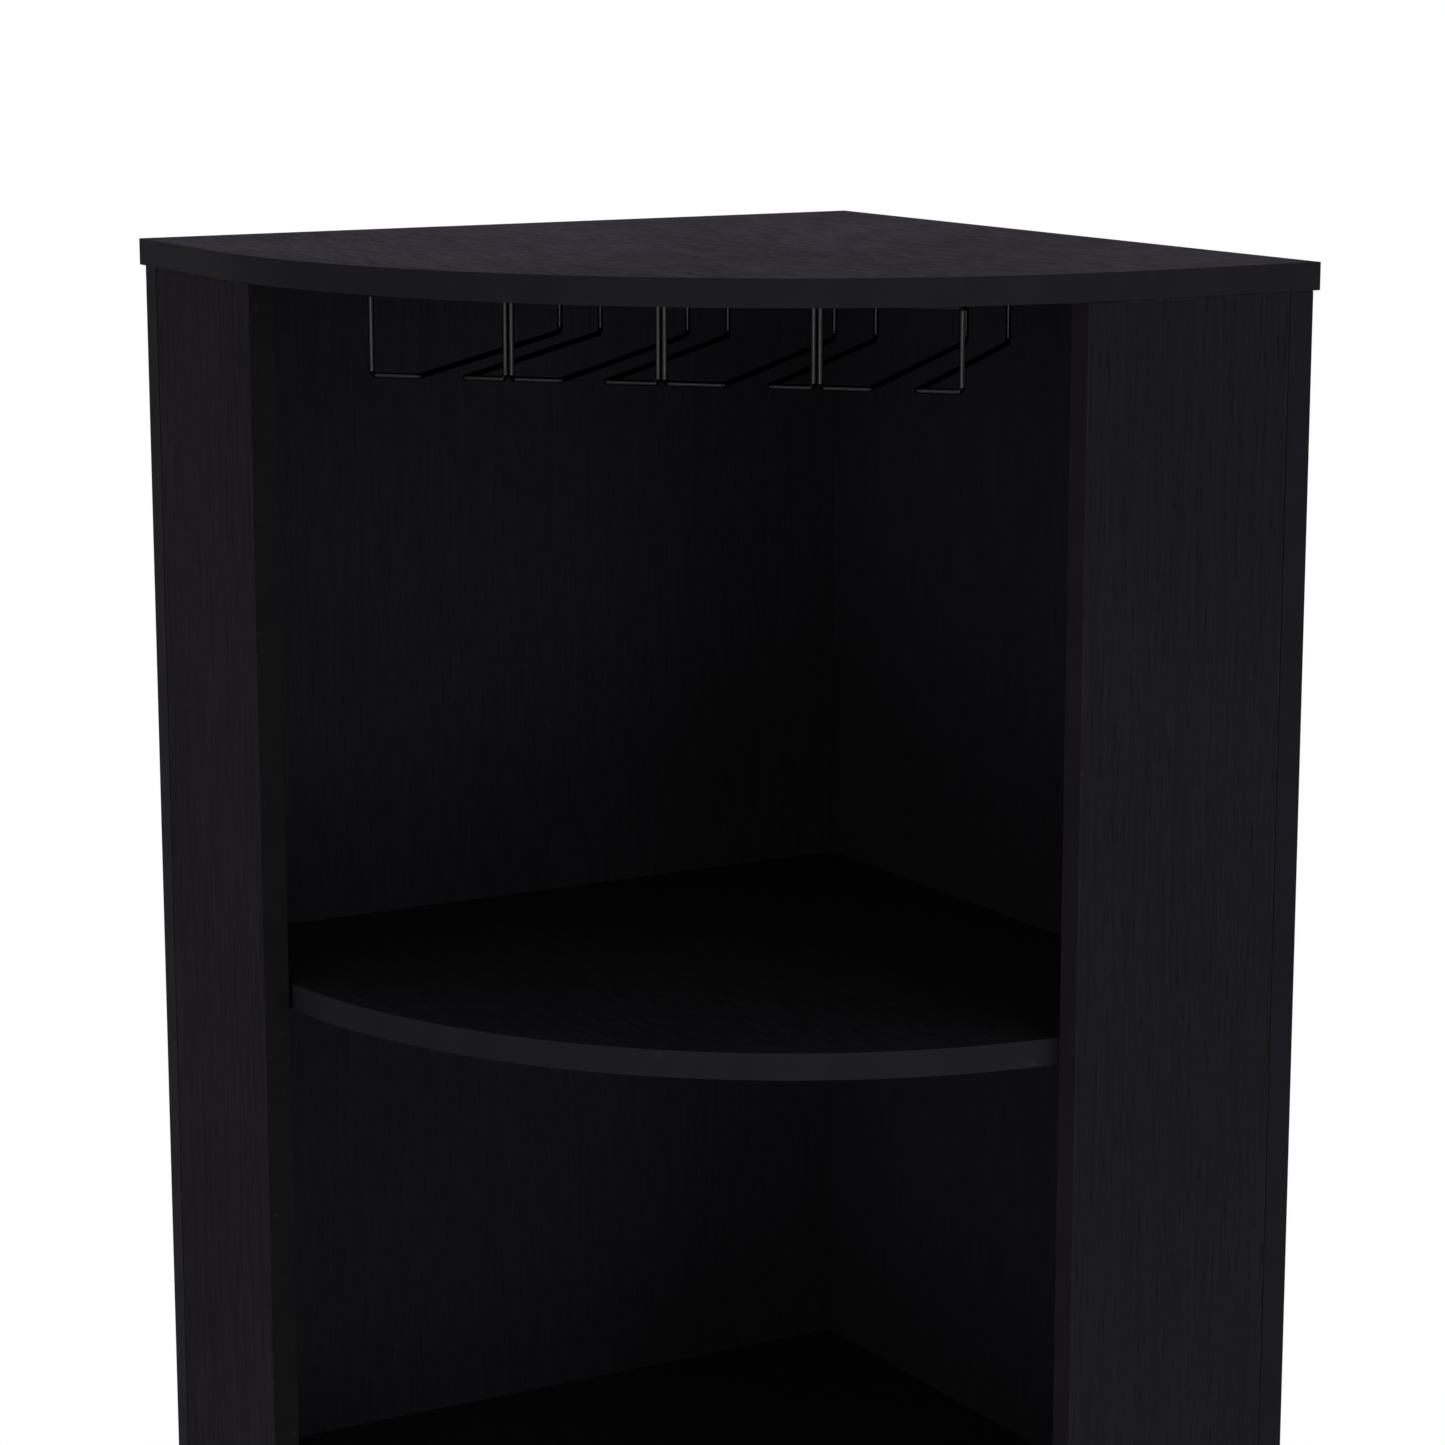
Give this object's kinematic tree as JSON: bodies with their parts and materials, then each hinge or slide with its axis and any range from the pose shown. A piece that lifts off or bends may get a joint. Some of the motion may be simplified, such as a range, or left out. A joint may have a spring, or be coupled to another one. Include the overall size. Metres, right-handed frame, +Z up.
{
  "type": "corner bar cabinet",
  "caption": "Tall quarter-round corner bar cabinet with open shelves, a wire stemware rack under its rounded top, and a cupboard with one flat hinged door.",
  "frame": {"origin": "on the floor, under the middle of the cabinet's bounding box", "axes": "+Z up; +Y towards the left-hand wall and +X towards the right-hand wall of the room's corner, as seen from the room; the cabinet faces -X -Y"},
  "size_m": [0.475, 0.4782, 1.8],
  "materials": {
    "board": "black melamine on particle board, with a fine upright grain and a low sheen",
    "wire": "gloss black powder-coated steel wire and strip",
    "knob": "satin nickel",
    "steel": "zinc-plated steel",
    "plastic": "moulded black plastic"
  },
  "bodies": {
    "carcase": {"top_board": "board", "left_wall_panel": "board", "right_wall_panel": "board", "left_stile": "board", "right_stile": "board", "upper_shelf": "board", "serving_shelf": "board", "cupboard_top_board": "board", "bottom_board": "board", "toe_board": "board", "inner_shelf": "board", "stemware_hanger_1": "wire", "stemware_hanger_2": "wire", "stemware_hanger_3": "wire", "stemware_hanger_4": "wire", "rack_front_strip": "wire", "rack_back_strip": "wire", "hinge_lower_stile_leaf": "steel", "hinge_upper_stile_leaf": "steel", "hinge_lower_pin": "steel", "hinge_upper_pin": "steel", "shelf_peg_left_back": "steel", "shelf_peg_left_front": "steel", "shelf_peg_right_back": "steel", "shelf_peg_right_front": "steel", "catch_body": "plastic", "glide_left_panel_back": "plastic", "glide_left_panel_front": "plastic", "glide_left_stile": "plastic", "glide_right_panel_back": "plastic", "glide_right_panel_front": "plastic", "glide_right_stile": "plastic"},
    "door": {"door": "board", "door_knob": "knob", "catch_strike_plate": "steel", "hinge_lower_door_leaf": "steel", "hinge_upper_door_leaf": "steel"}
  },
  "joints": [
    {"name": "door_hinge", "type": "hinge", "parent": "carcase", "child": "door", "pos_m": [0.08825, -0.23628, 0.4069], "axis": [0, 0, 1], "range_deg": [0, 150]}
  ]
}
